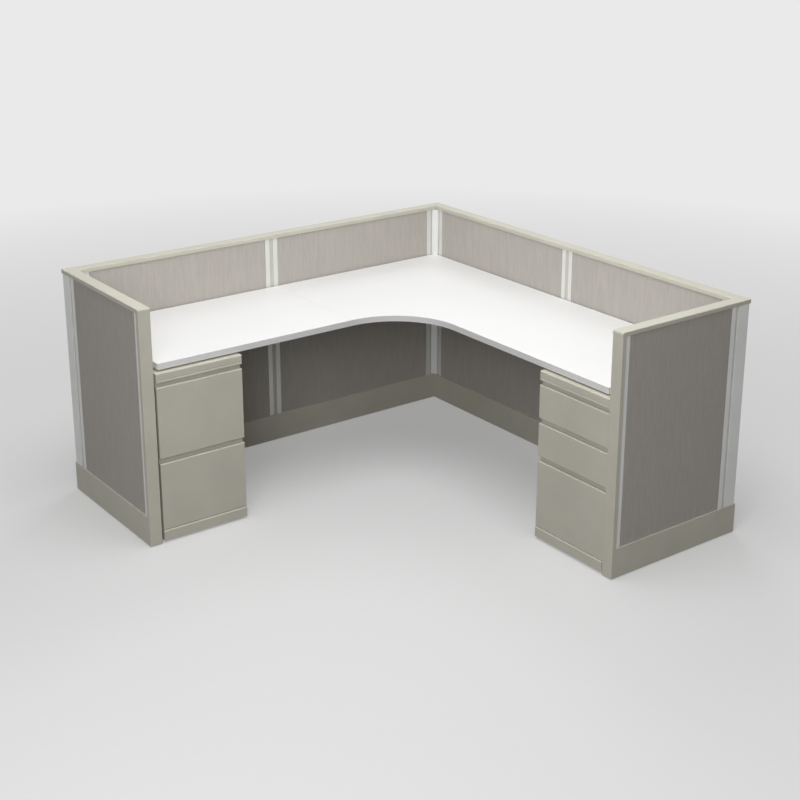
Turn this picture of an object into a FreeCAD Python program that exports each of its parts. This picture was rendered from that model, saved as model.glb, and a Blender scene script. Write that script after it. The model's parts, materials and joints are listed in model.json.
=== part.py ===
import FreeCAD, Part
import math
import os

Vector = FreeCAD.Vector

# Lengths are in millimetres. The origin is on the floor under the middle of the
# footprint. +X runs along the back wall, +Y points to the back wall and +Z is up.

# Panel system
panel_height = 990.6
panel_thickness = 52.5
wide_module = 914.4
joint_gap = 19.05
corner_zone = 78.0
end_trim_depth = 19.05
face_recess = 4.5
seat_clearance = 0.3
seam = 0.5
overrun = 5.0

# Stiles, rails, tiles and core of one panel
stile_width = 22.0
stile_wall = 1.5
stile_foot = 14.0
foot_plate = 3.0
rail_height = 30.0
rail_wall = 1.5
tile_thickness = 12.0
tile_edge_radius = 2.5
tile_side_gap = 0.4

# Top cap, end trim and base covers
cap_height = 17.0
cap_top_wall = 3.0
cap_edge_radius = 3.5
cap_end_radius = 8.0
cap_end_wall = 3.0
trim_wall = 2.0
trim_radius = 3.0
trim_return = 14.0
base_cover_top = 127.0
floor_gap = 3.0
cover_sheet = 1.8
cover_bend = 1.2
cover_overlap = 10.0

# Corner posts, their covers and the connectors
groove_depth = 2.75
post_wall = 2.0
connector_sheet = 1.5
post_cover_sheet = 1.5
post_cover_length = 66.0
post_cover_radius = 12.0
post_cover_recess = 0.8
inner_trim_reach = 20.0
filler_recess = 2.5
filler_sheet = 1.5
filler_leg = 9.0
draw_block_height = 60.0
draw_block_depth = 20.0
draw_block_inset = 45.0

# Levelling glides
glide_pad_radius = 14.0
glide_pad_height = 5.0
glide_stud_radius = 4.0
glide_stud_length = 24.0
stud_clearance = 0.3
pad_sides = 12
stud_sides = 8

# Worksurfaces
worksurface_top = 749.3
worksurface_thickness = 25.4
worksurface_depth = 609.6
worksurface_setback = 0.5
edge_band = 2.0
worksurface_seam = 1.0

# Worksurface brackets and their hooks
bracket_sheet = 3.0
bracket_root_width = 58.0
bracket_root_height = 140.0
bracket_tip_gap = 72.0
bracket_tip_height = 24.0
bracket_flange_width = 50.0
corner_bracket_reach = 130.0
cleat_clearance = 10.0
cleat_width = 34.0
short_root_height = 70.0
root_side_inset = 1.5
hook_inset = 22.0
hook_reach = 7.0
hook_height = 16.0
hook_clearance = 0.6
splice_length = 150.0
splice_width = 70.0
splice_front_inset = 40.0

# Pedestal case
pedestal_width = 381.0
pedestal_overhang = 21.4
pedestal_rear_gap = 52.0
left_pedestal_inset = 12.0
right_pedestal_inset = 5.0
case_sheet = 1.2
case_bend = 1.0
case_bottom = 10.0
case_flange = 12.0
plinth_height = 42.0
plinth_bevel = 4.0
plinth_return = 8.0
top_rail_height = 39.0
top_edge_bend = 3.8
rail_lip_height = 5.0
rail_groove_height = 6.0
rail_groove_depth = 2.5
rail_return = 10.0
upright_width = 30.0
upright_front_inset = 14.0
upright_rear_inset = 30.0
upright_sheet = 1.5
pad_size = 30.0
pad_thickness = 7.5
pad_inset = 45.0
case_glide_inset = 48.0

# Drawers
front_inset = 3.0
front_clearance = 1.0
front_reveal = 1.2
box_pitch = 160.0
finger_gap = 20.5
top_finger_gap = 19.0
front_sheet = 1.2
front_bend = 3.8
front_foot_bend = 1.8
grip_depth = 8.5
grip_bend = 1.0
trough_width = 5.2
trough_depth = 6.0
backing_clearance = 2.0
tub_sheet = 1.2
tub_rear_gap = 40.0
tub_floor_rise = 12.0
tub_top_drop = 24.0
hem_width = 8.0
hem_drop = 10.0

# Telescoping slides
slide_height = 45.0
slide_depth = 12.7
slide_sheet = 1.2
slide_clearance = 0.6

# Sizes that follow from the values above
wide_panel = wide_module - joint_gap
narrow_panel = worksurface_depth - joint_gap
wall_run = 2 * corner_zone + 2 * wide_panel + joint_gap
wing_run = corner_zone + narrow_panel + end_trim_depth
half_run = wall_run / 2
wall_joint = corner_zone + wide_panel + joint_gap / 2
wing_stile_end = corner_zone + narrow_panel
inner_face = panel_thickness - face_recess
cap_skirt = face_recess - seat_clearance
cap_underside = panel_height - cap_height
frame_top = panel_height - cap_top_wall - seat_clearance
tile_bottom = base_cover_top - cover_overlap
core_near = face_recess + tile_thickness
core_far = panel_thickness - core_near
post_near = face_recess + groove_depth
post_far = panel_thickness - post_near
worksurface_under = worksurface_top - worksurface_thickness
worksurface_back = panel_thickness + worksurface_setback
worksurface_front = worksurface_back + worksurface_depth
worksurface_joint = worksurface_back + wide_module
worksurface_end = worksurface_back + 2 * wide_module
splice_front = worksurface_front - splice_front_inset
splice_rear = splice_front - splice_width
bracket_tip = splice_rear - bracket_tip_gap
corner_stile_middle = corner_zone + stile_width / 2
joint_stile_offset = (joint_gap + stile_width) / 2
end_stile_middle = wall_run - corner_stile_middle
hook_length = hook_height - 2 * hook_clearance
slot_width = bracket_sheet + 2 * hook_clearance
pedestal_front = worksurface_front + pedestal_overhang
pedestal_depth = pedestal_front - inner_face - pedestal_rear_gap
cleat_reach = pedestal_rear_gap - bracket_sheet - cleat_clearance
case_top = worksurface_under - pad_thickness
grip_back = front_inset + grip_depth
front_back = grip_back + trough_width + front_sheet
nose_depth = front_back + front_clearance
plinth_top = case_bottom + plinth_height
rail_bottom = case_top - top_rail_height
slide_side = case_flange
tub_side = slide_side + slide_depth
tub_back = pedestal_depth - tub_rear_gap
slide_front = nose_depth + front_clearance
first_front = plinth_top + front_reveal
box_front = box_pitch - finger_gap
file_front = 2 * box_pitch - finger_gap
bottom_front = rail_bottom - top_finger_gap - 2 * box_pitch - first_front


# Plain geometry helpers

def block(x0, x1, y0, y1, z0, z1):
    """Box between two corners."""
    return Part.makeBox(x1 - x0, y1 - y0, z1 - z0, Vector(x0, y0, z0))


def on_plane(axis, p, q):
    """Point p, q of the plane through the origin that is square to the axis."""
    return {"x": Vector(0, p, q), "y": Vector(p, 0, q), "z": Vector(p, q, 0)}[axis]


def along(axis, length):
    """Vector of a length along an axis."""
    return {"x": Vector(length, 0, 0), "y": Vector(0, length, 0), "z": Vector(0, 0, length)}[axis]


def extrusion(axis, start, end, corners, radii=None):
    """Prism along an axis from an outline whose corners may be rounded."""
    radii = radii or [0] * len(corners)
    points = [on_plane(axis, p, q) for p, q in corners]
    arcs = []
    for index, here in enumerate(points):
        back = (points[index - 1] - here).normalize()
        ahead = (points[(index + 1) % len(points)] - here).normalize()
        radius = radii[index]
        half = back.getAngle(ahead) / 2
        setback = radius / math.tan(half)
        inward = (back + ahead).normalize() if radius else Vector(0, 0, 0)
        middle = here + inward * (radius / math.sin(half) - radius)
        arcs.append((here + back * setback, middle, here + ahead * setback, radius))
    edges = []
    for index, (first, middle, last, radius) in enumerate(arcs):
        before = arcs[index - 1][2]
        if before.distanceToPoint(first) > Part.Precision.confusion():
            edges.append(Part.makeLine(before, first))
        if radius:
            edges.append(Part.Arc(first, middle, last).toShape())
    face = Part.Face(Part.Wire(edges))
    face.translate(along(axis, start))
    return face.extrude(along(axis, end - start))


def round_bar(radius, sides, x, y, z0, z1):
    """Upright round bar or hole, drawn with a few flat sides because it is small and repeated."""
    turn = 2 * math.pi / sides
    corners = [(x + radius * math.cos(turn * step), y + radius * math.sin(turn * step))
               for step in range(sides)]
    return extrusion("z", z0, z1, corners)


def offset_left(path, distance):
    """The path moved to its left by a distance, with its corners kept."""
    moved = []
    last = len(path) - 1
    for index, (p, q) in enumerate(path):
        normals = []
        for first, second in ((index - 1, index), (index, index + 1)):
            if first < 0 or second > last:
                continue
            dp = path[second][0] - path[first][0]
            dq = path[second][1] - path[first][1]
            size = math.hypot(dp, dq)
            normals.append((-dq / size, dp / size))
        np = sum(normal[0] for normal in normals) / len(normals)
        nq = sum(normal[1] for normal in normals) / len(normals)
        scale = distance / (np * np + nq * nq)
        moved.append((p + np * scale, q + nq * scale))
    return moved


def bend_radii(path, bends, sheet):
    """Radii at the corners of a path, on the path and on its left. A bend of 0 is sharp."""
    on_path = [0] * len(path)
    on_left = [0] * len(path)
    for index, bend in enumerate(bends, 1):
        (p0, q0), (p1, q1), (p2, q2) = path[index - 1:index + 2]
        left_turn = (p1 - p0) * (q2 - q1) - (q1 - q0) * (p2 - p1) > 0
        if bend:
            on_path[index] = bend + sheet if left_turn else bend
            on_left[index] = bend if left_turn else bend + sheet
    return on_path, on_left


def folded(axis, start, end, path, sheet, bends=()):
    """Sheet folded along a path, lying on its left, with an inside radius for each bend."""
    on_path, on_left = bend_radii(path, bends, sheet)
    outline = path + offset_left(path, sheet)[::-1]
    return extrusion(axis, start, end, outline, on_path + on_left[::-1])


def joined(shapes):
    """One solid from pieces that are welded or bonded together."""
    return shapes[0].multiFuse(shapes[1:]).removeSplitter()


def edges_at(shape, axis_index, value):
    """Edges that lie in the plane where one coordinate has a value."""
    found = []
    for edge in shape.Edges:
        if all(abs(vertex.Point[axis_index] - value) < Part.Precision.confusion()
               for vertex in edge.Vertexes):
            found.append(edge)
    return found


# Places. A wall or wing is drawn with x along it from its corner, y inward from its
# outer face and z up. The plan is symmetric about its diagonal.

def on_left_wall(shape):
    """Place a wall piece on the left wall, running forward from the inner corner."""
    placed = shape.copy()
    placed.rotate(Vector(0, 0, 0), Vector(0, 0, 1), -90)
    placed.translate(Vector(-half_run, half_run, 0))
    return placed


def on_left_wing(shape):
    """Place a wing piece on the left wing, at the front end of the left wall."""
    placed = shape.copy()
    placed.translate(Vector(-half_run, -half_run, 0))
    return placed


def reflected(shape):
    """The same piece on the other side of the plan's diagonal."""
    return shape.mirror(Vector(0, 0, 0), Vector(1, 1, 0))


def swapped(shape):
    """A corner piece's twin on the other leg of its own corner."""
    return shape.mirror(Vector(0, 0, 0), Vector(1, -1, 0))


def at_corners(shape):
    """Place a corner piece at the front left, inner and back right corners."""
    placed = []
    for angle in (0, -90, 180):
        piece = on_left_wing(shape)
        piece.rotate(Vector(0, 0, 0), Vector(0, 0, 1), angle)
        placed.append(piece)
    return placed


def on_left_pedestal(shape):
    """Place a pedestal piece, drawn with its front facing -Y, so that it faces +X."""
    placed = shape.copy()
    placed.rotate(Vector(0, 0, 0), Vector(0, 0, 1), 90)
    placed.translate(Vector(pedestal_front - half_run,
                            panel_thickness + left_pedestal_inset - half_run, 0))
    return placed


def on_right_pedestal(shape):
    """Place a pedestal piece that faces -Y."""
    placed = shape.copy()
    placed.translate(Vector(half_run - panel_thickness - right_pedestal_inset - pedestal_width,
                            half_run - pedestal_front, 0))
    return placed


def mitred(shape, corner, sense):
    """Cut a run piece at 45 degrees at a corner. Sense is 1 where it runs to larger x."""
    reach = panel_thickness + overrun
    half_seam = seam / 2
    wedge = [(half_seam - overrun, -overrun), (half_seam + reach, reach),
             (-reach, reach), (-reach, -overrun)]
    corners = [(corner + sense * p, q) for p, q in wedge]
    return shape.cut(extrusion("z", -overrun, panel_height + overrun, corners))


# Panels

def stud_hole(x, y, floor_top):
    """Hole for a glide's stud through a floor plate."""
    return round_bar(glide_stud_radius + stud_clearance, stud_sides, x, y,
                     glide_pad_height, floor_top + overrun)


def stile(x0, slot_levels):
    """Hollow upright of a panel, with a closed foot and slots for bracket hooks."""
    x1 = x0 + stile_width
    middle = x0 + stile_width / 2
    tube = block(x0, x1, face_recess, inner_face, stile_foot, frame_top)
    hollow = block(x0 + stile_wall, x1 - stile_wall, face_recess + stile_wall,
                   inner_face - stile_wall, stile_foot + foot_plate, frame_top + overrun)
    cuts = [hollow, stud_hole(middle, panel_thickness / 2, stile_foot + foot_plate)]
    for level in slot_levels:
        cuts.append(block(middle - slot_width / 2, middle + slot_width / 2,
                          inner_face - stile_wall - overrun, inner_face + overrun,
                          level - hook_height / 2, level + hook_height / 2))
    return tube.cut(cuts)


def rail(x0, x1, z0, opening_up):
    """Cross rail of a panel, a channel between the stiles with its back to the tiles' edge."""
    z1 = z0 + rail_height
    hollow_low = z0 + rail_wall if opening_up else z0 - overrun
    hollow_high = z1 + overrun if opening_up else z1 - rail_wall
    bar = block(x0, x1, core_near, core_far, z0, z1)
    return bar.cut(block(x0 - overrun, x1 + overrun, core_near + rail_wall,
                         core_far - rail_wall, hollow_low, hollow_high))


def panel_frame(x0, width, near_slots, far_slots):
    """Two stiles with a top rail and a rail above the raceway."""
    x1 = x0 + width
    inside = (x0 + stile_width, x1 - stile_width)
    return [stile(x0, near_slots), stile(x1 - stile_width, far_slots),
            rail(*inside, frame_top - rail_height, False),
            rail(*inside, tile_bottom, True)]


def panel_core(x0, width):
    """Stiffening board inside the frame, between the two tiles."""
    gap = seat_clearance
    return block(x0 + stile_width + gap, x0 + width - stile_width - gap, core_near, core_far,
                 tile_bottom + rail_height + gap, frame_top - rail_height - gap)


def panel_tile(x0, width, inner):
    """Fabric-faced tile between the stiles, with softened edges on its face."""
    near = core_far if inner else face_recess
    far = inner_face if inner else core_near
    tile = block(x0 + stile_width + tile_side_gap, x0 + width - stile_width - tile_side_gap,
                 near, far, tile_bottom, frame_top)
    face = far if inner else near
    return tile.makeFillet(tile_edge_radius, edges_at(tile, 1, face))


def base_cover(x0, x1, inner):
    """Raceway cover, a shallow channel that clips in front of the stiles."""
    path = [(cap_skirt, base_cover_top), (0, base_cover_top),
            (0, floor_gap), (cap_skirt, floor_gap)]
    bends = [cover_bend, 0]
    if inner:
        path = [(panel_thickness - p, q) for p, q in path[::-1]]
        bends = bends[::-1]
    return folded("x", x0, x1, path, cover_sheet, bends)


def wall_base_covers(inner):
    """The two covers of one side of a wall, mitred at both corners and butted at the joint."""
    rear = mitred(base_cover(0, wall_joint - seam / 2, inner), 0, 1)
    front = mitred(base_cover(wall_joint + seam / 2, wall_run, inner), wall_run, -1)
    return rear, front


def cap_blank(length, end_radius):
    """Solid bar with the cap's rounded top edges and, where asked, a rounded end."""
    bar = extrusion("x", 0, length,
                    [(0, cap_underside), (panel_thickness, cap_underside),
                     (panel_thickness, panel_height), (0, panel_height)],
                    [0, 0, cap_edge_radius, cap_edge_radius])
    if not end_radius:
        return bar
    side = extrusion("y", -overrun, panel_thickness + overrun,
                     [(-overrun, cap_underside), (length, cap_underside),
                      (length, panel_height), (-overrun, panel_height)],
                     [0, 0, end_radius, 0])
    return bar.common(side)


def cap_hollow(length):
    """Space under a cap, where the frame and tiles come up into it."""
    return block(-overrun, length, cap_skirt, panel_thickness - cap_skirt,
                 cap_underside - overrun, panel_height - cap_top_wall)


def wall_cap():
    """Cap over a whole wall, mitred at both ends."""
    cap = cap_blank(wall_run, 0).cut(cap_hollow(wall_run + overrun))
    return mitred(mitred(cap, 0, 1), wall_run, -1)


def wing_cap():
    """Cap over a wing, mitred at the corner and closed and rounded at the free end."""
    cap = cap_blank(wing_run, cap_end_radius).cut(cap_hollow(wing_run - cap_end_wall))
    return mitred(cap, 0, 1)


def end_trim():
    """Upright cover over the free end of a wing, a channel with returns on to the stile."""
    x0, x1 = wing_stile_end, wing_run
    path = [(x0, trim_return), (x0, 0), (x1, 0), (x1, panel_thickness),
            (x0, panel_thickness), (x0, panel_thickness - trim_return)]
    edge = trim_radius - trim_wall
    return folded("z", floor_gap, cap_underside - seat_clearance, path, trim_wall,
                  [0, edge, edge])


# Corners and joints

def corner_post():
    """Square tube that stands in the corner between two panels, with a closed foot."""
    middle = panel_thickness / 2
    tube = block(post_near, post_far, post_near, post_far, stile_foot, frame_top)
    hollow = block(post_near + post_wall, post_far - post_wall, post_near + post_wall,
                   post_far - post_wall, stile_foot + foot_plate, frame_top + overrun)
    return tube.cut([hollow, stud_hole(middle, middle, stile_foot + foot_plate)])


def corner_connector():
    """Channel that joins the post to the first stile of a panel."""
    path = [(post_far, post_near), (corner_zone, post_near),
            (corner_zone, post_far), (post_far, post_far)]
    return folded("z", tile_bottom, frame_top, path, connector_sheet)


def outer_post_cover():
    """Smooth cover round the outside of the post."""
    turned_in = post_near - seat_clearance
    near = post_cover_recess
    path = [(turned_in, post_cover_length), (near, post_cover_length), (near, near),
            (post_cover_length, near), (post_cover_length, turned_in)]
    return folded("z", base_cover_top + seat_clearance, cap_underside - seat_clearance,
                  path, post_cover_sheet, [0, post_cover_radius - post_cover_sheet])


def inner_post_trim():
    """Narrow diagonal cover in the inside corner, with edges turned back to the connectors."""
    turned_in = post_far + seat_clearance
    far = inner_face + inner_trim_reach
    path = [(far, turned_in), (far, inner_face), (inner_face, far), (turned_in, far)]
    return folded("z", base_cover_top + seat_clearance, cap_underside - seat_clearance,
                  path, post_cover_sheet)


def joint_filler(inner):
    """Snap-in strip that closes the joint between two panels of a wall."""
    x0 = wall_joint - joint_gap / 2 + seat_clearance
    x1 = wall_joint + joint_gap / 2 - seat_clearance
    face = face_recess + filler_recess
    path = [(x0, face + filler_leg), (x0, face), (x1, face), (x1, face + filler_leg)]
    if inner:
        path = [(p, panel_thickness - q) for p, q in path[::-1]]
    return folded("z", tile_bottom, frame_top, path, filler_sheet)


def draw_blocks():
    """Blocks that pull the two stiles of a wall joint together, one low and one high."""
    x0 = wall_joint - joint_gap / 2
    x1 = wall_joint + joint_gap / 2
    y0 = (panel_thickness - draw_block_depth) / 2
    low = tile_bottom + draw_block_inset
    high = frame_top - draw_block_inset - draw_block_height
    return [block(x0, x1, y0, y0 + draw_block_depth, z0, z0 + draw_block_height)
            for z0 in (low, high)]


def glide(x, y, stud_top):
    """Levelling glide: a pad on the floor with a stud up from it."""
    pad = round_bar(glide_pad_radius, pad_sides, x, y, 0, glide_pad_height)
    stud = round_bar(glide_stud_radius, stud_sides, x, y, glide_pad_height, stud_top)
    return joined([pad, stud])


def stile_glides(x0, width):
    """Glides under the two stiles of a panel."""
    stud_top = stile_foot + glide_stud_length
    return [glide(x, panel_thickness / 2, stud_top)
            for x in (x0 + stile_width / 2, x0 + width - stile_width / 2)]


# Worksurfaces and what carries them

def corner_outline(front):
    """Plan of the corner worksurface up to a front line, from the inner corner."""
    corner_cut = 2 * inner_face + inner_trim_reach + 2 * worksurface_setback
    corner_cut = corner_cut - 2 * worksurface_back
    corners = [(worksurface_back + corner_cut, worksurface_back),
               (worksurface_joint, worksurface_back), (worksurface_joint, front),
               (front, front), (front, worksurface_end), (worksurface_back, worksurface_end),
               (worksurface_back, worksurface_back + corner_cut)]
    return corners, [0, 0, 0, worksurface_joint - front, 0, 0, 0]


def corner_slab(front):
    """Slab of the corner worksurface, drawn with x along the left wall."""
    corners, radii = corner_outline(front)
    return extrusion("z", worksurface_under, worksurface_top, corners, radii)


def left_slab(y0, y1):
    """Slab of the left worksurface between two depths from the wall's outer face."""
    return block(worksurface_joint + worksurface_seam, worksurface_end, y0, y1,
                 worksurface_under, worksurface_top)


def root_plate(middle, width, height, levels):
    """Plate against the stiles' faces with hooks that pass through their slots."""
    top = worksurface_under
    plate = block(middle - width / 2, middle + width / 2, inner_face,
                  inner_face + bracket_sheet, top - height, top)
    hooks = []
    for x, level in levels:
        hooks.append(block(x - bracket_sheet / 2, x + bracket_sheet / 2,
                           inner_face - hook_reach, inner_face,
                           level - hook_length / 2, level + hook_length / 2))
    return [plate] + hooks


def hook_levels(height):
    """Levels of the two hooks of a root plate."""
    return (worksurface_under - hook_inset, worksurface_under - height + hook_inset)


def cantilever():
    """Bracket at a wall joint: a root plate, a tapered web and a flange under the slab."""
    stiles = (wall_joint - joint_stile_offset, wall_joint + joint_stile_offset)
    levels = [(x, level) for x in stiles for level in hook_levels(bracket_root_height)]
    pieces = root_plate(wall_joint, bracket_root_width, bracket_root_height, levels)
    y0 = inner_face + bracket_sheet
    y1 = bracket_tip
    top = worksurface_under - bracket_sheet
    bottom = worksurface_under - bracket_root_height
    web = extrusion("x", wall_joint - bracket_sheet / 2, wall_joint + bracket_sheet / 2,
                    [(y0, bottom), (y0 + bracket_tip_height, bottom),
                     (y1, top - bracket_tip_height), (y1, top), (y0, top)],
                    [0, bracket_tip_height / 2, bracket_tip_height / 2, 0, 0])
    flange = block(wall_joint - bracket_flange_width / 2, wall_joint + bracket_flange_width / 2,
                   y0, y1, top, worksurface_under)
    return joined(pieces + [web, flange])


def short_root(middle):
    """Root plate on one stile."""
    levels = [(middle, level) for level in hook_levels(short_root_height)]
    width = stile_width - 2 * root_side_inset
    return root_plate(middle, width, short_root_height, levels)


def end_cleat():
    """Short bracket behind a pedestal, on the last stile of a wall."""
    y0 = inner_face + bracket_sheet
    shelf = block(end_stile_middle - cleat_width / 2, end_stile_middle + cleat_width / 2,
                  y0, y0 + cleat_reach, worksurface_under - bracket_sheet, worksurface_under)
    return joined(short_root(end_stile_middle) + [shelf])


def corner_bracket():
    """Bracket across the inner corner, drawn with x along the left wall."""
    one_leg = short_root(corner_stile_middle)
    other_leg = [swapped(piece) for piece in one_leg]
    near = inner_face + bracket_sheet
    far = near + corner_bracket_reach
    shelf = extrusion("z", worksurface_under - bracket_sheet, worksurface_under,
                      [(corner_zone, near), (far, near), (near, far), (near, corner_zone)])
    return joined(one_leg + other_leg + [shelf])


def splice_plate():
    """Flat plate under the seam between the two worksurfaces."""
    return block(worksurface_joint - splice_length / 2, worksurface_joint + splice_length / 2,
                 splice_rear, splice_front, worksurface_under - bracket_sheet, worksurface_under)


# Pedestals, drawn with x across the front, y back from the drawer fronts and z up

def mirrored_across(shape):
    """The same piece on the other side of the pedestal."""
    return shape.mirror(Vector(pedestal_width / 2, 0, 0), Vector(1, 0, 0))


def case_sides():
    """Side sheets with their front and rear edges turned in."""
    path = [(case_flange, pedestal_depth), (0, pedestal_depth),
            (0, nose_depth), (case_flange, nose_depth)]
    side = folded("z", case_bottom + case_sheet, case_top - case_sheet, path, case_sheet)
    return [side, mirrored_across(side)]


def case_uprights():
    """Channels inside the sides that carry the slides."""
    uprights = []
    rear = pedestal_depth - upright_rear_inset - upright_width
    for y0 in (nose_depth + upright_front_inset, rear):
        y1 = y0 + upright_width
        path = [(case_sheet, y0), (case_flange, y0), (case_flange, y1), (case_sheet, y1)]
        upright = folded("z", case_bottom + case_sheet, case_top - case_sheet, path,
                         upright_sheet)
        uprights += [upright, mirrored_across(upright)]
    return uprights


def formed_front(lead, outline, tail, sheet, bends, closing=()):
    """Sheet bent along an outline across the pedestal, with a plate that closes each end.

    The plate follows the outline and then any closing points.
    """
    path = lead + outline + tail
    pan = folded("x", 0, pedestal_width, path, sheet, bends)
    radii = bend_radii(path, bends, sheet)[0][len(lead):len(lead) + len(outline)]
    plate = extrusion("x", 0, sheet, outline + list(closing), radii + [0] * len(closing))
    return joined([pan, plate, mirrored_across(plate)])


def case_top_panel():
    """Top sheet whose front is folded down into a rail with a groove above its lip."""
    face = front_inset
    lip_top = rail_bottom + rail_lip_height
    groove_top = lip_top + rail_groove_height
    outline = [(nose_depth, case_top), (face, case_top), (face, groove_top),
               (face + rail_groove_depth, groove_top), (face, lip_top),
               (face, rail_bottom), (nose_depth, rail_bottom)]
    return formed_front([(pedestal_depth, case_top)], outline,
                        [(nose_depth, rail_bottom + rail_return)], case_sheet,
                        [0, top_edge_bend, 0, 0, case_bend, 0, 0])


def case_base():
    """Base sheet whose front is formed into a plinth that stands proud of the drawers."""
    outline = [(nose_depth, plinth_top), (front_inset, plinth_top),
               (0, plinth_top - plinth_bevel), (0, case_bottom), (nose_depth, case_bottom)]
    base = formed_front([(nose_depth, plinth_top - plinth_return)], outline,
                        [(pedestal_depth, case_bottom)], case_sheet,
                        [0, case_bend, case_bend])
    return base.cut([stud_hole(x, y, case_bottom + case_sheet) for x, y in case_glide_places()])


def case_back():
    """Back sheet inside the turned rear edges of the sides."""
    y1 = pedestal_depth - case_sheet
    return block(case_sheet, pedestal_width - case_sheet, y1 - case_sheet, y1,
                 case_bottom + case_sheet, case_top - case_sheet)


def corner_places(inset, y0, y1):
    """Four places inset from the sides and from a front and a back line."""
    return [(x, y) for x in (inset, pedestal_width - inset) for y in (y0 + inset, y1 - inset)]


def case_glide_places():
    """Where the pedestal's glides stand."""
    return corner_places(case_glide_inset, 0, pedestal_depth)


def case_glides():
    """Glides under the pedestal's base."""
    stud_top = case_bottom + glide_stud_length
    return [glide(x, y, stud_top) for x, y in case_glide_places()]


def worksurface_pads():
    """Pads between the pedestal's top and the worksurface that it is screwed to."""
    places = corner_places(pad_inset, nose_depth, pedestal_depth)
    half = pad_size / 2
    return [block(x - half, x + half, y - half, y + half, case_top, worksurface_under)
            for x, y in places]


def drawer_front(z0, height, above):
    """Front with a rolled grip along its top, a trough behind it and a backing up the gap."""
    top = z0 + height
    trough_floor = top - trough_depth
    grip = [(front_back - front_sheet, trough_floor), (grip_back, trough_floor), (grip_back, top)]
    outline = [(front_inset, top), (front_inset, z0), (front_back, z0)]
    pan = formed_front(grip, outline, [], front_sheet,
                       [0, grip_bend, front_bend, front_foot_bend], [(front_back, top)])
    backing = block(front_sheet, pedestal_width - front_sheet, front_back - front_sheet,
                    front_back, z0 + front_sheet, above - backing_clearance)
    return [pan, backing]


def tub_side_wall(floor, top):
    """Side of a drawer with its top edge rolled inward, as a rail for hanging files."""
    path = [(tub_side + hem_width, top - hem_drop), (tub_side + hem_width, top),
            (tub_side, top), (tub_side, floor)]
    return folded("y", front_back + tub_sheet, tub_back - tub_sheet, path, tub_sheet)


def drawer_tub(z0, height):
    """Walls and floor of a drawer behind its front."""
    floor = z0 + tub_floor_rise
    top = z0 + height - tub_top_drop
    x0 = tub_side
    x1 = pedestal_width - tub_side
    side = tub_side_wall(floor, top)
    bottom = block(x0 + tub_sheet, x1 - tub_sheet, front_back + tub_sheet,
                   tub_back - tub_sheet, floor, floor + tub_sheet)
    front = block(x0, x1, front_back, front_back + tub_sheet, floor, top)
    back = block(x0, x1, tub_back - tub_sheet, tub_back, floor, top)
    return [side, mirrored_across(side), bottom, front, back]


def slide_member(web_x, edge_x, half_height, level):
    """Channel of a slide, from its web to the edge of its flanges, on both sides."""
    sign = 1 if edge_x > web_x else -1
    path = [(edge_x, level + sign * half_height), (web_x, level + sign * half_height),
            (web_x, level - sign * half_height), (edge_x, level - sign * half_height)]
    member = folded("y", slide_front, tub_back, path, slide_sheet)
    return [member, mirrored_across(member)]


def slide_set(z0, height):
    """Cabinet, intermediate and drawer members of the two slides of a drawer."""
    level = (z0 + tub_floor_rise + z0 + height - tub_top_drop) / 2
    step = slide_sheet + slide_clearance
    outer_edge = slide_side + slide_depth - step
    half = slide_height / 2
    cabinet = slide_member(slide_side, outer_edge, half, level)
    middle = slide_member(slide_side + step, outer_edge, half - step, level)
    inner_edge = slide_side + step + slide_sheet + slide_clearance
    drawer = slide_member(tub_side, inner_edge, half - 2 * step, level)
    return cabinet, middle, drawer


def stacked_fronts(heights):
    """Bottom and height of each drawer front from the plinth up, and what is above it."""
    levels = []
    z0 = first_front
    for height in heights[:-1]:
        above = z0 + height + finger_gap
        levels.append((z0, height, above))
        z0 = above
    levels.append((z0, heights[-1], rail_bottom))
    return levels


# Assembly

nodes = {}


def add(name, solids, place):
    """Place solids and add them to a node."""
    solids = solids if isinstance(solids, list) else [solids]
    nodes.setdefault(name, []).extend(place(solid) for solid in solids)


def build_panel(name, x0, width, places, near_slots=(), far_slots=()):
    """Frame, tiles and core of a panel on each of the named places."""
    add(name + "_frame", panel_frame(x0, width, near_slots, far_slots), places)
    add(name + "_inner_tile", panel_tile(x0, width, True), places)
    add(name + "_outer_tile", panel_tile(x0, width, False), places)
    add("panel_cores", panel_core(x0, width), places)
    add("levelling_glides", stile_glides(x0, width), places)


def on_back_wall(shape):
    """Place a wall piece on the back wall."""
    return reflected(on_left_wall(shape))


def on_right_wing(shape):
    """Place a wing piece on the right wing."""
    return reflected(on_left_wing(shape))


def build_walls():
    """Left and back wall with their covers, caps and joints."""
    long_levels = hook_levels(bracket_root_height)
    short_levels = hook_levels(short_root_height)
    front_start = wall_joint + joint_gap / 2
    for wall, near_name, far_name, place in (
            ("left_wall", "left_wall_rear", "left_wall_front", on_left_wall),
            ("back_wall", "back_wall_left", "back_wall_right", on_back_wall)):
        build_panel(near_name, corner_zone, wide_panel, place, short_levels, long_levels)
        build_panel(far_name, front_start, wide_panel, place, long_levels, short_levels)
        for inner in (False, True):
            rear_cover, front_cover = wall_base_covers(inner)
            add(wall + "_base_covers", [rear_cover, front_cover], place)
            add("joint_fillers", joint_filler(inner), place)
        add(wall + "_cap", wall_cap(), place)
        add("draw_blocks", draw_blocks(), place)
        add("cantilever_brackets", cantilever(), place)
        add("end_cleats", end_cleat(), place)


def build_wings():
    """Short wings at the free ends of the walls."""
    for wing, place in (("left_wing", on_left_wing), ("right_wing", on_right_wing)):
        build_panel(wing, corner_zone, narrow_panel, place)
        for inner in (False, True):
            cover = mitred(base_cover(0, wing_stile_end - seam, inner), 0, 1)
            add(wing + "_base_covers", cover, place)
        add("wing_caps", wing_cap(), place)
        add("end_trims", end_trim(), place)


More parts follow.
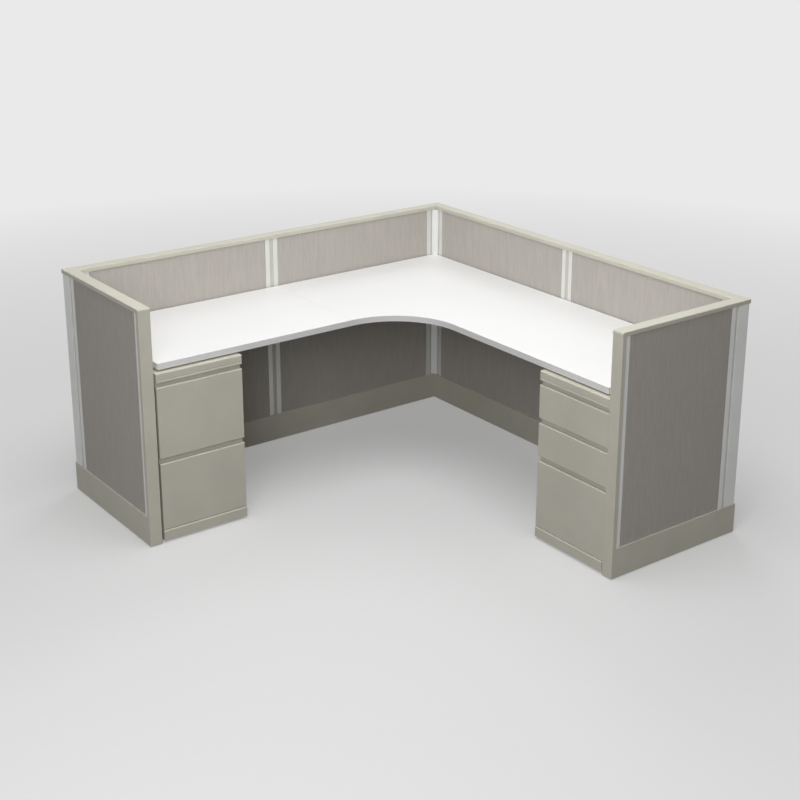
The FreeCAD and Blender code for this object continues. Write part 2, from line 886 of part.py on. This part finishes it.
def build_corners():
    """Posts, connectors and covers of the three corners."""
    middle = panel_thickness / 2
    connector = corner_connector()
    nodes["corner_posts"] = at_corners(corner_post())
    nodes["corner_connectors"] = at_corners(connector) + at_corners(swapped(connector))
    nodes["outer_post_covers"] = at_corners(outer_post_cover())
    nodes["inner_post_trims"] = at_corners(inner_post_trim())
    nodes["levelling_glides"] += at_corners(glide(middle, middle, stile_foot + glide_stud_length))


def build_worksurfaces():
    """Worksurfaces with their edge bands, corner bracket and splice plate."""
    core_front = worksurface_front - edge_band
    corner_core = corner_slab(core_front)
    corner_whole = corner_slab(worksurface_front)
    add("corner_worksurface", corner_core, on_left_wall)
    add("worksurface_edge_bands", corner_whole.cut(corner_core), on_left_wall)
    add("left_worksurface", left_slab(worksurface_back, core_front), on_left_wall)
    add("worksurface_edge_bands", left_slab(core_front, worksurface_front), on_left_wall)
    add("corner_bracket", corner_bracket(), on_left_wall)
    add("splice_plate", splice_plate(), on_left_wall)


def build_pedestal(side, place, drawers):
    """A pedestal case with its drawers and slides."""
    case = case_sides() + case_uprights() + [case_top_panel(), case_base(), case_back()]
    add(side + "_pedestal_case", case, place)
    add("levelling_glides", case_glides(), place)
    add("worksurface_pads", worksurface_pads(), place)
    levels = stacked_fronts([height for name, height in drawers])
    for (name, height), (z0, height, above) in zip(drawers, levels):
        cabinet, middle, drawer = slide_set(z0, height)
        add("slide_cabinet_members", cabinet, place)
        add(side + "_" + name + "_slide_members", middle, place)
        add(side + "_" + name + "_drawer_front", drawer_front(z0, height, above), place)
        add(side + "_" + name + "_drawer_tub", drawer_tub(z0, height) + drawer, place)


build_walls()
build_wings()
build_corners()
build_worksurfaces()
build_pedestal("left", on_left_pedestal, [("lower", bottom_front), ("upper", file_front)])
build_pedestal("right", on_right_pedestal,
               [("bottom", bottom_front), ("middle", box_front), ("top", box_front)])

os.makedirs("parts", exist_ok=True)
for node_name, solids in nodes.items():
    shape = solids[0] if len(solids) == 1 else Part.makeCompound(solids)
    shape.exportStep("parts/" + node_name + ".step")
    valid = all(solid.isValid() and len(solid.Solids) == 1 for solid in solids)
    print(node_name, len(solids), "solids", "valid" if valid else "NOT VALID")
print(len(nodes), "nodes")
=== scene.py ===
import json
import math

import bmesh
import bpy
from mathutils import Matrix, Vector


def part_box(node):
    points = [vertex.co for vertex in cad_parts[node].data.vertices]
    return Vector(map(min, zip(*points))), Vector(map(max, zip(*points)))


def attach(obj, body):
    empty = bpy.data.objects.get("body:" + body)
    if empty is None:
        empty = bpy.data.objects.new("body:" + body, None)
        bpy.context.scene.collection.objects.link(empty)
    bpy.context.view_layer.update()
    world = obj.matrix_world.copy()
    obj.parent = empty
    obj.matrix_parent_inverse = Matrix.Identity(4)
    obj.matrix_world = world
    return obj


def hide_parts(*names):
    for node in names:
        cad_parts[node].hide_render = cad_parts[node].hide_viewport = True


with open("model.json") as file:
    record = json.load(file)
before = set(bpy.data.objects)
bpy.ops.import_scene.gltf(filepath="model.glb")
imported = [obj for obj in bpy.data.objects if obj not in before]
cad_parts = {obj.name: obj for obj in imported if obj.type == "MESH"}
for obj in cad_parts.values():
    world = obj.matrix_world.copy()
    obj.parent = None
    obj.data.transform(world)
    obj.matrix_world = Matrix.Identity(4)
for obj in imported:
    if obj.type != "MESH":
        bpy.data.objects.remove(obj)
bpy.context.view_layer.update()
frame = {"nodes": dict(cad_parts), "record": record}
nodes = frame["nodes"]

# Camera at the photo's viewing angle, as fitted to the object's edges
camera_place = Vector((4.4655, -3.2815, 2.6635))
camera_tilt_deg = 72.0
camera_heading_deg = 53.55
camera_lens_mm = 65.34
camera_sensor_mm = 36.0
camera_shift = (0.0026, -0.1076)
camera_far_limit = 100.0

# Lamps, with places, aims and sizes in metres and power in watts
lamps = {
    "key": {"place": (0.50, -0.40, 3.8), "aim": (0, 0, 0.7), "size": 2.4, "power": 62.0},
    "fill": {"place": (2.8, -3.1, 2.5), "aim": (0, 0, 0.5), "size": 2.0, "power": 60.0},
    "back": {"place": (-2.6, 2.6, 4.0), "aim": (0, 0, 0.5), "size": 2.4, "power": 38.0},
}

# Strength of the light from all round, and of the glow that the camera sees behind and below
world_light = 0.30
backdrop_glow = 0.82
floor_glow = 0.26

# Share of its brightness that the floor keeps for the light that it throws back on the object
floor_bounce = 0.28

# Floor in metres: it fades into the backdrop between two distances, and lies just under the feet
floor_size = 60.0
fade_start = 1.6
fade_end = 6.0
contact_drop = 0.0005

# Colours as linear red, green and blue
fabric_light = (0.548, 0.513, 0.461)
fabric_dark = (0.470, 0.447, 0.418)
trim_colour = (0.618, 0.600, 0.508)
pedestal_colour = (0.615, 0.597, 0.508)
silver_colour = (0.825, 0.828, 0.811)
groove_colour = (0.650, 0.650, 0.622)
laminate_colour = (0.920, 0.920, 0.915)
band_colour = (0.790, 0.785, 0.785)
zinc_colour = (0.620, 0.620, 0.630)
black_colour = (0.030, 0.030, 0.032)
board_colour = (0.380, 0.290, 0.190)
floor_colour = (0.500, 0.500, 0.500)
surround_colour = (1.000, 1.000, 1.000)

# Middle part of the values that a noise texture gives
noise_range = (0.3, 0.7)

# Cloth pattern: sizes in metres, flecks in cells per metre, and what each gives to tone and relief
thread_pitch = 0.0016
streak_width = 0.010
streak_length = 0.10
yarn_width = 0.003
yarn_length = 0.06
fleck_cells = (350.0, 350.0, 120.0)
streak_share = 0.4
yarn_share = 0.35
fleck_share = 0.25
thread_relief = 0.5
tone_range = (0.36, 0.64)

# Painted steel: the range of its colour noise, and how far its roughness strays
paint_range = (0.35, 0.65)
gloss_change = 0.05

# Soft edges of the CAD nodes in metres and degrees
edge_width = 0.0003
edge_segments = 2
edge_angle_deg = 40.0
weld_gap = 0.00001

# Nodes that keep the edges of the CAD model: their folded sheets touch themselves and would tear,
# and the glides are small and hidden
sharp_kinds = ("_drawer_front", "_drawer_tub", "_pedestal_case",
               "corner_connectors", "levelling_glides")

# Cloth-wrapped tiles in metres
cloth_radius = 0.0028
turn_steps = 5
cloth_crown = 0.0004
crown_reach = 0.030
crown_falloff = 3.0
cloth_cell = 0.055
fewest_cells = 2
hem_width = 0.018
hem_height = 0.0006


# Node material helpers

def shade(colour, factor):
    """A colour made lighter or darker."""
    return tuple(min(1.0, part * factor) for part in colour)


class Look:
    """A material with short calls for the nodes used here."""

    def __init__(self, name):
        self.material = bpy.data.materials.new(name)
        self.material.use_nodes = True
        self.tree = self.material.node_tree
        self.shader = self.tree.nodes["Principled BSDF"]
        self.place = self.tree.nodes.new("ShaderNodeTexCoord").outputs["Object"]

    def link(self, source, target):
        self.tree.links.new(source, target)

    def feed(self, socket, value):
        """Set a socket to a plain value, or link it where the value is another socket."""
        if isinstance(value, bpy.types.NodeSocket):
            self.link(value, socket)
        else:
            socket.default_value = value

    def maths(self, operation, first, second=0.0):
        node = self.tree.nodes.new("ShaderNodeMath")
        node.operation = operation
        for socket, value in zip(node.inputs, (first, second)):
            self.feed(socket, value)
        return node.outputs[0]

    def between(self, value, source, result):
        """A value mapped from one range to another, and kept within it."""
        node = self.tree.nodes.new("ShaderNodeMapRange")
        self.link(value, node.inputs["Value"])
        for name, number in zip(("From Min", "From Max", "To Min", "To Max"), (*source, *result)):
            node.inputs[name].default_value = number
        return node.outputs["Result"]

    def noise(self, cells, detail):
        """Noise with its cells per metre given as one number, or as three that stretch the cells."""
        node = self.tree.nodes.new("ShaderNodeTexNoise")
        node.inputs["Detail"].default_value = detail
        if isinstance(cells, tuple):
            mapping = self.tree.nodes.new("ShaderNodeMapping")
            self.link(self.place, mapping.inputs["Vector"])
            mapping.inputs["Scale"].default_value = cells
            self.link(mapping.outputs["Vector"], node.inputs["Vector"])
            node.inputs["Scale"].default_value = 1.0
        else:
            self.link(self.place, node.inputs["Vector"])
            node.inputs["Scale"].default_value = cells
        return node.outputs["Fac"]

    def blend(self, value, colours, span=noise_range):
        """A colour that goes from the first to the second over a span of the value."""
        node = self.tree.nodes.new("ShaderNodeValToRGB")
        self.link(value, node.inputs["Fac"])
        for element, position, colour in zip(node.color_ramp.elements, span, colours):
            element.position = position
            element.color = (*colour, 1.0)
        return node.outputs["Color"]

    def mottle(self, noise, colour, darker, lighter, span=noise_range):
        """Paint the surface in one colour that noise makes a little darker and lighter."""
        colours = (shade(colour, darker), shade(colour, lighter))
        self.link(self.blend(noise, colours, span), self.shader.inputs["Base Color"])

    def uneven_gloss(self, noise, smoothest, roughest):
        roughness = self.between(noise, noise_range, (smoothest, roughest))
        self.link(roughness, self.shader.inputs["Roughness"])

    def bump(self, height, distance, strength):
        node = self.tree.nodes.new("ShaderNodeBump")
        self.link(height, node.inputs["Height"])
        node.inputs["Distance"].default_value = distance
        node.inputs["Strength"].default_value = strength
        self.link(node.outputs["Normal"], self.shader.inputs["Normal"])


# Materials

def cloth_weave(look):
    """Height of warp and weft threads, alike on the walls along X and along Y."""
    split = look.tree.nodes.new("ShaderNodeSeparateXYZ")
    look.link(look.place, split.inputs[0])
    across = look.maths("ADD", split.outputs["X"], split.outputs["Y"])
    turns = 2 * math.pi / thread_pitch
    warp = look.maths("SINE", look.maths("MULTIPLY", across, turns))
    weft = look.maths("SINE", look.maths("MULTIPLY", split.outputs["Z"], turns))
    return look.maths("MULTIPLY", warp, weft)


def panel_fabric():
    """Woven cloth: fine warp and weft threads, with long vertical streaks in the yarn."""
    look = Look("panel_fabric")
    weave = cloth_weave(look)
    streaks = look.noise(cells=(1 / streak_width, 1 / streak_width, 1 / streak_length), detail=2.0)
    yarns = look.noise(cells=(1 / yarn_width, 1 / yarn_width, 1 / yarn_length), detail=2.0)
    flecks = look.noise(cells=fleck_cells, detail=2.0)
    tone = look.maths("ADD", look.maths("MULTIPLY", yarns, yarn_share),
                      look.maths("MULTIPLY", flecks, fleck_share))
    tone = look.maths("ADD", tone, look.maths("MULTIPLY", streaks, streak_share))
    colour = look.blend(tone, (fabric_dark, fabric_light), tone_range)
    look.link(colour, look.shader.inputs["Base Color"])
    look.shader.inputs["Roughness"].default_value = 0.92
    look.shader.inputs["Specular IOR Level"].default_value = 0.25
    look.shader.inputs["Sheen Weight"].default_value = 0.12
    look.shader.inputs["Sheen Roughness"].default_value = 0.5
    relief = look.maths("ADD", look.maths("MULTIPLY", weave, thread_relief), flecks)
    look.bump(relief, distance=0.00025, strength=0.6)
    return look.material


def powder_coat(name, colour, roughness, metallic=0.0):
    """Painted sheet steel with a faint orange-peel skin and slightly uneven gloss."""
    look = Look(name)
    cloud = look.noise(cells=6.0, detail=3.0)
    peel = look.noise(cells=900.0, detail=2.0)
    look.mottle(cloud, colour, darker=0.97, lighter=1.03, span=paint_range)
    look.uneven_gloss(peel, smoothest=roughness - gloss_change, roughest=roughness + gloss_change)
    look.shader.inputs["Metallic"].default_value = metallic
    look.shader.inputs["Specular IOR Level"].default_value = 0.4
    look.bump(peel, distance=0.00004, strength=0.5)
    return look.material


def white_laminate():
    """White worktop laminate with a fine pebble texture."""
    look = Look("white_laminate")
    cloud = look.noise(cells=4.0, detail=3.0)
    pebble = look.noise(cells=1400.0, detail=2.0)
    look.mottle(cloud, laminate_colour, darker=0.985, lighter=1.0)
    look.uneven_gloss(pebble, smoothest=0.42, roughest=0.52)
    look.shader.inputs["Specular IOR Level"].default_value = 0.35
    look.bump(pebble, distance=0.00003, strength=0.5)
    return look.material


def edge_band_plastic():
    """Extruded edge band with faint lines along its length."""
    look = Look("edge_band")
    lines = look.noise(cells=(2.0, 2.0, 900.0), detail=2.0)
    look.mottle(lines, band_colour, darker=0.96, lighter=1.04)
    look.shader.inputs["Roughness"].default_value = 0.48
    look.bump(lines, distance=0.00004, strength=0.4)
    return look.material


def zinc_steel():
    """Zinc-plated steel with a rolled grain along each slide."""
    look = Look("zinc_steel")
    grain = look.noise(cells=(30.0, 30.0, 900.0), detail=3.0)
    spangle = look.noise(cells=60.0, detail=2.0)
    look.mottle(spangle, zinc_colour, darker=0.88, lighter=1.06)
    look.uneven_gloss(grain, smoothest=0.28, roughest=0.44)
    look.shader.inputs["Metallic"].default_value = 1.0
    look.bump(grain, distance=0.00003, strength=0.4)
    return look.material


def moulded_plastic(name, colour):
    """Moulded plastic with a fine grained surface."""
    look = Look(name)
    grain = look.noise(cells=700.0, detail=3.0)
    look.mottle(grain, colour, darker=0.9, lighter=1.2)
    look.shader.inputs["Roughness"].default_value = 0.55
    look.bump(grain, distance=0.00006, strength=0.5)
    return look.material


def fibreboard():
    """Raw fibreboard with fine chips."""
    look = Look("core_board")
    chips = look.noise(cells=260.0, detail=4.0)
    look.mottle(chips, board_colour, darker=0.75, lighter=1.2)
    look.shader.inputs["Roughness"].default_value = 0.9
    look.bump(chips, distance=0.0002, strength=0.5)
    return look.material


materials = {
    "panel_fabric": panel_fabric(),
    "silver_paint": powder_coat("silver_paint", silver_colour, roughness=0.4, metallic=0.22),
    "dark_silver_paint": powder_coat("dark_silver_paint", groove_colour, roughness=0.4, metallic=0.22),
    "trim_paint": powder_coat("trim_paint", trim_colour, roughness=0.5),
    "pedestal_paint": powder_coat("pedestal_paint", pedestal_colour, roughness=0.5),
    "core_board": fibreboard(),
    "white_laminate": white_laminate(),
    "edge_band": edge_band_plastic(),
    "zinc_steel": zinc_steel(),
    "bracket_paint": powder_coat("bracket_paint", black_colour, roughness=0.45),
    "pad_plastic": moulded_plastic("pad_plastic", black_colour),
    "glide_plastic": moulded_plastic("glide_plastic", black_colour),
}


# CAD nodes

def soften(obj):
    """Round a piece's sharp edges slightly, as on folded or moulded parts."""
    weld = obj.modifiers.new("weld", "WELD")
    weld.merge_threshold = weld_gap
    bevel = obj.modifiers.new("edges", "BEVEL")
    bevel.width = edge_width
    bevel.segments = edge_segments
    bevel.limit_method = "ANGLE"
    bevel.angle_limit = math.radians(edge_angle_deg)
    bevel.use_clamp_overlap = False
    normals = obj.modifiers.new("normals", "WEIGHTED_NORMAL")
    normals.keep_sharp = True


def dress(entry):
    """Give a CAD node the material of its slot, and soft edges unless it keeps its own."""
    obj = nodes[entry["node"]]
    obj.data.materials.clear()
    obj.data.materials.append(materials[entry["material_slot"]])
    if not entry["node"].endswith(sharp_kinds):
        soften(obj)


for entry in frame["record"]["subparts"]:
    dress(entry)


# Cloth-wrapped tiles

def stations(length):
    """Places along a tile's side, close together where the cloth turns over the edge."""
    angles = [step * math.pi / (2 * turn_steps) for step in range(turn_steps)]
    turn = [cloth_radius * (1 - math.cos(angle)) for angle in angles]
    near = turn + [cloth_radius, 2 * cloth_radius, crown_reach / 2, crown_reach]
    span = length - 2 * crown_reach
    count = max(fewest_cells, round(span / cloth_cell))
    inside = [crown_reach + span * step / count for step in range(1, count)]
    return near + inside + [length - place for place in reversed(near)]


def drawn_back(distance):
    """How far the cloth lies behind the face at a distance from the edge."""
    short = max(0.0, cloth_radius - distance)
    turned = cloth_radius - math.sqrt(cloth_radius ** 2 - short ** 2)
    return turned + cloth_crown * math.exp(-crown_falloff * distance / crown_reach)


class WrappedTile:
    """Board wrapped in cloth: a crowned face, soft edges and a hem turned over at the back."""

    def __init__(self, node, partner):
        """The partner is the tile on the panel's other side, which the face looks away from."""
        low, high = (Vector(corner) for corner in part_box(node))
        other_low, other_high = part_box(partner)
        thin = 0 if high.x - low.x < high.y - low.y else 1
        self.low = low
        self.high = high
        self.thin = thin
        self.wide = 1 - thin
        self.outward = 1 if low[thin] + high[thin] > other_low[thin] + other_high[thin] else -1
        self.face = high[thin] if self.outward > 0 else low[thin]
        self.thickness = high[thin] - low[thin]
        self.across = stations(high[self.wide] - low[self.wide])
        self.upward = stations(high.z - low.z)
        self.centre = self.point(self.across[-1] / 2, self.upward[-1] / 2, self.thickness)
        self.mesh = bmesh.new()
        self.add_face()
        self.add_hem()
        self.clean_up()

    def point(self, along, height, depth):
        place = Vector((0.0, 0.0, self.low.z + height))
        place[self.wide] = self.low[self.wide] + along
        place[self.thin] = self.face - self.outward * depth
        return place

    def add_face(self):
        """Face as a grid that falls back towards its edges and turns over them."""
        grid = []
        for along in self.across:
            side_depth = drawn_back(min(along, self.across[-1] - along))
            column = []
            for height in self.upward:
                depth = side_depth + drawn_back(min(height, self.upward[-1] - height))
                column.append(self.mesh.verts.new(self.point(along, height, depth)))
            grid.append(column)
        for left, right in zip(grid, grid[1:]):
            for row in range(len(self.upward) - 1):
                self.mesh.faces.new((left[row], right[row], right[row + 1], left[row + 1]))

    def add_hem(self):
        """Sides down to the back, the hem along the back's rim, and the board within it."""
        board_depth = self.thickness - hem_height
        rim = [edge for edge in self.mesh.edges if edge.is_boundary]
        for inset, depth in ((0.0, self.thickness), (hem_width, self.thickness), (hem_width, board_depth)):
            grown = bmesh.ops.extrude_edge_only(self.mesh, edges=rim)["geom"]
            rim = [item for item in grown if isinstance(item, bmesh.types.BMEdge) and item.is_boundary]
            for vert in {vert for edge in rim for vert in edge.verts}:
                self.pull_in(vert, inset)
                vert.co[self.thin] = self.face - self.outward * depth
        bmesh.ops.holes_fill(self.mesh, edges=rim, sides=0)

    def pull_in(self, vert, inset):
        """Keep a point of the rim at least the inset away from the tile's four sides."""
        vertical = 2
        for axis in (self.wide, vertical):
            if vert.co[axis] < self.centre[axis]:
                vert.co[axis] = max(vert.co[axis], self.low[axis] + inset)
            else:
                vert.co[axis] = min(vert.co[axis], self.high[axis] - inset)

    def clean_up(self):
        """Take out the tiny faces at the hem's corners, and turn all faces outward."""
        mesh = self.mesh
        bmesh.ops.remove_doubles(mesh, verts=mesh.verts, dist=weld_gap)
        bmesh.ops.dissolve_degenerate(mesh, edges=mesh.edges, dist=weld_gap)
        bmesh.ops.recalc_face_normals(mesh, faces=mesh.faces)


def wrap_tile(node, partner):
    """Put a cloth-wrapped board in the place of a plain tile."""
    tile = WrappedTile(node, partner)
    data = bpy.data.meshes.new(node + "_cloth")
    tile.mesh.to_mesh(data)
    tile.mesh.free()
    data.shade_smooth()
    data.materials.append(materials["panel_fabric"])
    obj = bpy.data.objects.new(node + "_cloth", data)
    bpy.context.scene.collection.objects.link(obj)
    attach(obj, "workstation")
    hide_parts(node)


for name in sorted(nodes):
    if name.endswith("_inner_tile"):
        outer_name = name.replace("_inner_", "_outer_")
        wrap_tile(name, outer_name)
        wrap_tile(outer_name, name)


# Stage, light and camera

def seen_by_camera(tree):
    """1 for what the camera sees straight or in a mirror or through glass, otherwise 0."""
    path = tree.nodes.new("ShaderNodeLightPath")
    total = path.outputs["Is Camera Ray"]
    for name in ("Is Glossy Ray", "Is Transmission Ray"):
        node = tree.nodes.new("ShaderNodeMath")
        node.operation = "ADD"
        node.use_clamp = True
        tree.links.new(total, node.inputs[0])
        tree.links.new(path.outputs[name], node.inputs[1])
        total = node.outputs[0]
    return total


def fade_to_backdrop(look, seen):
    """Let a floor melt into the backdrop away from the object, where the camera sees it."""
    length = look.tree.nodes.new("ShaderNodeVectorMath")
    length.operation = "LENGTH"
    look.link(look.place, length.inputs[0])
    far = look.between(length.outputs["Value"], (fade_start, fade_end), (0.0, 1.0))
    glow = look.tree.nodes.new("ShaderNodeEmission")
    glow.inputs["Color"].default_value = (*surround_colour, 1.0)
    look.link(look.maths("MULTIPLY", seen, backdrop_glow), glow.inputs["Strength"])
    mix = look.tree.nodes.new("ShaderNodeMixShader")
    look.link(look.maths("MULTIPLY", far, seen), mix.inputs["Fac"])
    look.link(look.shader.outputs["BSDF"], mix.inputs[1])
    look.link(glow.outputs["Emission"], mix.inputs[2])
    look.link(mix.outputs["Shader"], look.tree.nodes["Material Output"].inputs["Surface"])


def floor_material():
    """Pale speckled floor that glows faintly to the camera and throws little light back."""
    look = Look("floor")
    seen = seen_by_camera(look.tree)
    speckle = look.noise(cells=40.0, detail=3.0)
    pale = look.blend(speckle, (shade(floor_colour, 0.985), floor_colour))
    dimmed = look.tree.nodes.new("ShaderNodeVectorMath")
    dimmed.operation = "SCALE"
    look.link(pale, dimmed.inputs[0])
    look.link(look.between(seen, (0.0, 1.0), (floor_bounce, 1.0)), dimmed.inputs["Scale"])
    look.link(dimmed.outputs["Vector"], look.shader.inputs["Base Color"])
    look.shader.inputs["Roughness"].default_value = 0.9
    look.shader.inputs["Emission Color"].default_value = (*surround_colour, 1.0)
    look.link(look.maths("MULTIPLY", seen, floor_glow), look.shader.inputs["Emission Strength"])
    fade_to_backdrop(look, seen)
    return look.material


def build_floor():
    """Plain square floor just under the feet."""
    half = floor_size / 2
    corners = [(-half, -half, 0), (half, -half, 0), (half, half, 0), (-half, half, 0)]
    mesh = bpy.data.meshes.new("floor")
    mesh.from_pydata(corners, [], [(0, 1, 2, 3)])
    mesh.materials.append(floor_material())
    obj = bpy.data.objects.new("floor", mesh)
    obj.location = (0, 0, -contact_drop)
    bpy.context.scene.collection.objects.link(obj)


def build_lamp(name, place, aim, size, power):
    """Soft round lamp aimed at a point."""
    lamp = bpy.data.lights.new(name, "AREA")
    lamp.shape = "DISK"
    lamp.size = size
    lamp.energy = power
    obj = bpy.data.objects.new(name, lamp)
    obj.location = place
    obj.rotation_euler = (Vector(aim) - Vector(place)).to_track_quat("-Z", "Y").to_euler()
    bpy.context.scene.collection.objects.link(obj)


def build_world():
    """Pale surroundings that fill the shadows, and the backdrop that the camera sees."""
    world = bpy.data.worlds.new("room")
    world.use_nodes = True
    bpy.context.scene.world = world
    tree = world.node_tree
    room = tree.nodes["Background"]
    room.inputs["Color"].default_value = (*surround_colour, 1.0)
    room.inputs["Strength"].default_value = world_light
    backdrop = tree.nodes.new("ShaderNodeBackground")
    backdrop.inputs["Color"].default_value = (*surround_colour, 1.0)
    backdrop.inputs["Strength"].default_value = backdrop_glow
    mix = tree.nodes.new("ShaderNodeMixShader")
    tree.links.new(seen_by_camera(tree), mix.inputs["Fac"])
    tree.links.new(room.outputs["Background"], mix.inputs[1])
    tree.links.new(backdrop.outputs["Background"], mix.inputs[2])
    tree.links.new(mix.outputs["Shader"], tree.nodes["World Output"].inputs["Surface"])


def build_camera():
    """Camera where the photo was taken from."""
    data = bpy.data.cameras.new("camera")
    data.sensor_width = camera_sensor_mm
    data.lens = camera_lens_mm
    data.shift_x, data.shift_y = camera_shift
    data.clip_end = camera_far_limit
    camera = bpy.data.objects.new("camera", data)
    camera.location = camera_place
    camera.rotation_euler = (math.radians(camera_tilt_deg), 0.0, math.radians(camera_heading_deg))
    bpy.context.scene.collection.objects.link(camera)
    bpy.context.scene.camera = camera


build_floor()
for name, lamp in lamps.items():
    build_lamp(name, **lamp)
build_world()
build_camera()

bpy.context.scene.view_settings.view_transform = "Standard"
